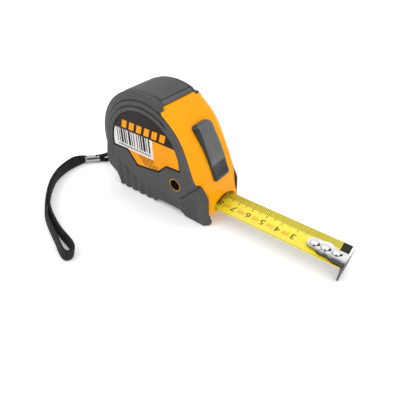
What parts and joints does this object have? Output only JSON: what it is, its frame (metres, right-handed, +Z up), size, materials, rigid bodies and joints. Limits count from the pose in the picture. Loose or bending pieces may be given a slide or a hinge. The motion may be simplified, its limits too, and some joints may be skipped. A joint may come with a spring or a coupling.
{
  "type": "tape measure",
  "caption": "Pocket tape measure with a rubber grip case, a thumb lock, a dished blade with a sliding end hook, and a wrist strap.",
  "frame": {"origin": "under the middle of the tape measure without its strap, on the surface it stands on", "axes": "+X the way the blade pulls out, -Y the side with the exposed front screw, +Z up"},
  "size_m": [0.2004, 0.1026, 0.0739],
  "materials": {
    "abs_orange": "gloss orange-yellow",
    "grip_rubber": "matt dark grey",
    "label_print": "satin printed film",
    "black_plastic": "satin black",
    "inner_plastic": "matt black",
    "blade_yellow": "yellow enamel",
    "spring_steel": "bare steel",
    "hook_chrome": "bright nickel plate",
    "screw_steel": "blackened",
    "brake_rubber": "matt black",
    "strap_cloth": "woven black",
    "ferrule_metal": "bright plate"
  },
  "bodies": {
    "case": {"case_shell_left": "abs_orange", "case_shell_right": "abs_orange", "grip_rubber_left": "grip_rubber", "grip_rubber_right": "grip_rubber", "top_grip_pad": "grip_rubber", "side_label_left": "label_print", "side_label_right": "label_print", "screw_front_low": "screw_steel", "screw_rear_low": "screw_steel", "screw_front_top": "screw_steel", "screw_centre": "screw_steel", "centre_post": "spring_steel", "lanyard_pin": "spring_steel", "blade_lead": "blade_yellow", "strap_cord": "strap_cloth", "strap_ferrule": "ferrule_metal", "strap_webbing": "strap_cloth"},
    "reel": {"reel_drum": "inner_plastic", "reel_cover": "inner_plastic", "blade_coil": "blade_yellow", "power_spring": "spring_steel"},
    "tape": {"blade": "blade_yellow", "rivet_rear": "hook_chrome", "rivet_middle": "hook_chrome", "rivet_front": "hook_chrome"},
    "hook": {"end_hook": "hook_chrome"},
    "lock": {"lock_button": "black_plastic", "lock_arm": "inner_plastic", "brake_pad": "brake_rubber"}
  },
  "joints": [
    {"name": "blade_slide", "type": "slide", "parent": "case", "child": "tape", "axis": [1, 0, 0], "range_m": [-0.076, 0]},
    {"name": "reel_spin", "type": "hinge", "parent": "case", "child": "reel", "pos_m": [-0.04335, 0, 0.034], "axis": [0, 1, 0], "range_deg": [0, 200]},
    {"name": "hook_play", "type": "slide", "parent": "tape", "child": "hook", "axis": [1, 0, 0], "range_m": [0, 0.0008]},
    {"name": "lock_slide", "type": "hinge", "parent": "case", "child": "lock", "pos_m": [-0.06926, 0, 0.00856], "axis": [0, -1, 0], "range_deg": [0, 3.9]}
  ],
  "couplings": [
    {"joint": "reel_spin", "follows": "blade_slide", "rad_per_m": -45.45}
  ]
}
